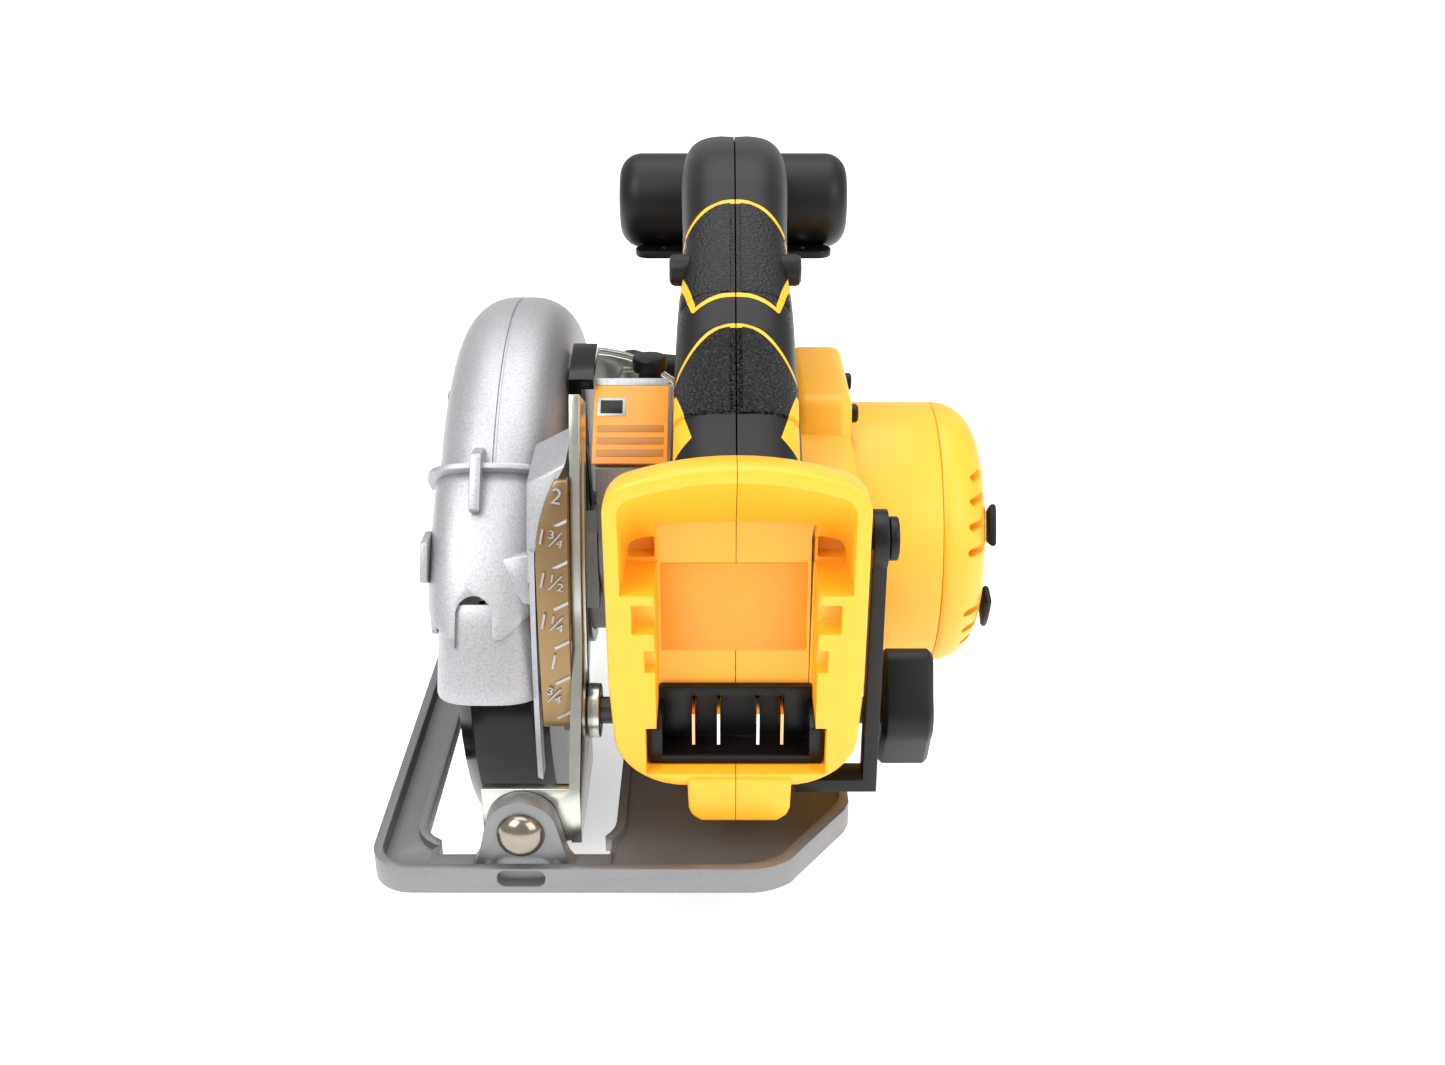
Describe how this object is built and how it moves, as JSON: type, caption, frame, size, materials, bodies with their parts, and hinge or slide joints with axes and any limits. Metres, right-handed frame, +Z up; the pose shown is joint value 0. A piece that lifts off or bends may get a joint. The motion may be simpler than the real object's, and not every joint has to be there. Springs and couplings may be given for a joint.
{
  "type": "circular saw",
  "caption": "Cordless hand-held circular saw: cast shoe, tilting and depth-setting saw body, guarded blade on the left, rear handle over an open battery bay",
  "frame": {"origin": "point on the shoe's flat underside, in the handle's centre plane, level with the blade's arbor", "axes": "+X to the right of the user, +Y forward in the cutting direction, +Z up, square to the shoe"},
  "size_m": [0.1836, 0.2871, 0.231],
  "materials": {
    "cast_metal": "cast alloy with silver metallic paint",
    "shoe_alloy": "cast alloy, satin, brighter on its edges",
    "zinc": "zinc plated pressed steel, bright",
    "rivet_steel": "rivets and pins, polished",
    "blade_steel": "ground blade steel",
    "dark_steel": "dark phosphated steel and laminations",
    "scale_bronze": "bronze tinted plate with raised marks",
    "yellow_plastic": "yellow moulded plastic, fine texture",
    "black_plastic": "black moulded plastic",
    "black_gloss": "gloss black coating",
    "black_paint": "black powder coat",
    "amber_label": "blank amber label",
    "copper": "copper contacts",
    "contact_steel": "plated contacts"
  },
  "bodies": {
    "shoe": {"shoe": "shoe_alloy", "rear_bevel_rivet": "rivet_steel", "bevel_quadrant": "zinc", "front_bevel_rivet": "rivet_steel"},
    "tilt_frame": {"depth_bracket": "zinc", "front_bracket": "zinc", "depth_hinge_pin": "rivet_steel"},
    "bevel_lock": {"bevel_lock_bolt": "zinc", "bevel_lock_lever": "black_plastic"},
    "saw_body": {"upper_guard": "cast_metal", "dust_chute": "cast_metal", "chute_liner": "cast_metal", "depth_scale": "scale_bronze", "gear_case": "cast_metal", "gear_case_plate": "cast_metal", "gear_case_label": "amber_label", "spindle_bearing": "blade_steel", "motor_collar": "yellow_plastic", "motor_housing": "yellow_plastic", "motor_end_cap": "yellow_plastic", "stator": "dark_steel", "rear_bearing": "blade_steel", "front_bearing": "blade_steel", "bumper_upper": "black_plastic", "bumper_lower": "black_plastic", "housing_left": "yellow_plastic", "housing_right": "yellow_plastic", "terminal_1": "copper", "terminal_2": "contact_steel", "terminal_3": "contact_steel", "terminal_4": "copper", "terminal_block": "black_plastic", "rating_plate": "amber_label", "motor_controller": "dark_steel", "handle_left": "black_plastic", "handle_right": "black_plastic", "front_pommel": "black_plastic", "switch_body": "black_plastic", "trigger_pin": "rivet_steel", "hook_screw": "rivet_steel"},
    "lower_guard": {"lower_guard": "black_gloss", "guard_lever": "black_gloss"},
    "blade_spindle": {"blade": "blade_steel", "spindle": "dark_steel", "inner_flange": "blade_steel", "outer_flange": "blade_steel", "blade_bolt": "zinc", "drive_gear": "blade_steel"},
    "rotor": {"rotor": "dark_steel", "cooling_fan": "black_plastic"},
    "trigger": {"trigger": "black_plastic"},
    "lock_off_button": {"lock_off_button": "black_plastic"},
    "spindle_lock_button": {"spindle_lock_button": "black_plastic"},
    "depth_lock": {"depth_lock_bolt": "dark_steel", "depth_lock_washer": "zinc", "depth_lock_knob": "black_plastic"},
    "hang_hook": {"hang_hook": "black_paint"}
  },
  "joints": [
    {"name": "bevel_tilt", "type": "hinge", "parent": "shoe", "child": "tilt_frame", "pos_m": [-0.0593, 0, 0.0165], "axis": [0, -1, 0], "range_deg": [0, 45]},
    {"name": "depth_set", "type": "hinge", "parent": "tilt_frame", "child": "saw_body", "pos_m": [-0.0593, 0.117, 0.028], "axis": [-1, 0, 0], "range_deg": [0, 21]},
    {"name": "bevel_lock_turn", "type": "hinge", "parent": "tilt_frame", "child": "bevel_lock", "pos_m": [-0.04169, 0.13, 0.06008], "axis": [0, 1, 0], "range_deg": [-40, 0]},
    {"name": "lower_guard_swing", "type": "hinge", "parent": "saw_body", "child": "lower_guard", "pos_m": [-0.0697, 0, 0.036], "axis": [-1, 0, 0], "range_deg": [0, 100], "stiffness_Nm_per_rad": 0.35, "springref_deg": -34.38},
    {"name": "blade_spin", "type": "hinge", "parent": "saw_body", "child": "blade_spindle", "pos_m": [-0.0697, 0, 0.036], "axis": [1, 0, 0], "continuous": true},
    {"name": "rotor_spin", "type": "hinge", "parent": "saw_body", "child": "rotor", "pos_m": [0, -0.012, 0.055], "axis": [1, 0, 0], "continuous": true},
    {"name": "trigger_pull", "type": "hinge", "parent": "saw_body", "child": "trigger", "pos_m": [0, 0.027, 0.1466], "axis": [-1, 0, 0], "range_deg": [0, 8], "stiffness_Nm_per_rad": 0.6, "springref_deg": -17.19},
    {"name": "lock_off_slide", "type": "slide", "parent": "saw_body", "child": "lock_off_button", "axis": [-1, 0, 0], "range_m": [0, 0.0025], "stiffness_N_per_m": 400, "springref_m": -0.003},
    {"name": "spindle_lock_press", "type": "slide", "parent": "saw_body", "child": "spindle_lock_button", "axis": [0, 0, -1], "range_m": [0, 0.003], "stiffness_N_per_m": 400, "springref_m": -0.003},
    {"name": "depth_lock_turn", "type": "hinge", "parent": "saw_body", "child": "depth_lock", "pos_m": [0, -0.08944, 0.033], "axis": [1, 0, 0], "range_deg": [-60, 0]},
    {"name": "hook_swing", "type": "hinge", "parent": "saw_body", "child": "hang_hook", "pos_m": [0.0362, -0.105, 0.096], "axis": [-1, 0, 0], "range_deg": [0, 95]}
  ],
  "couplings": [
    {"joint": "rotor_spin", "follows": "blade_spin", "ratio": -4}
  ]
}
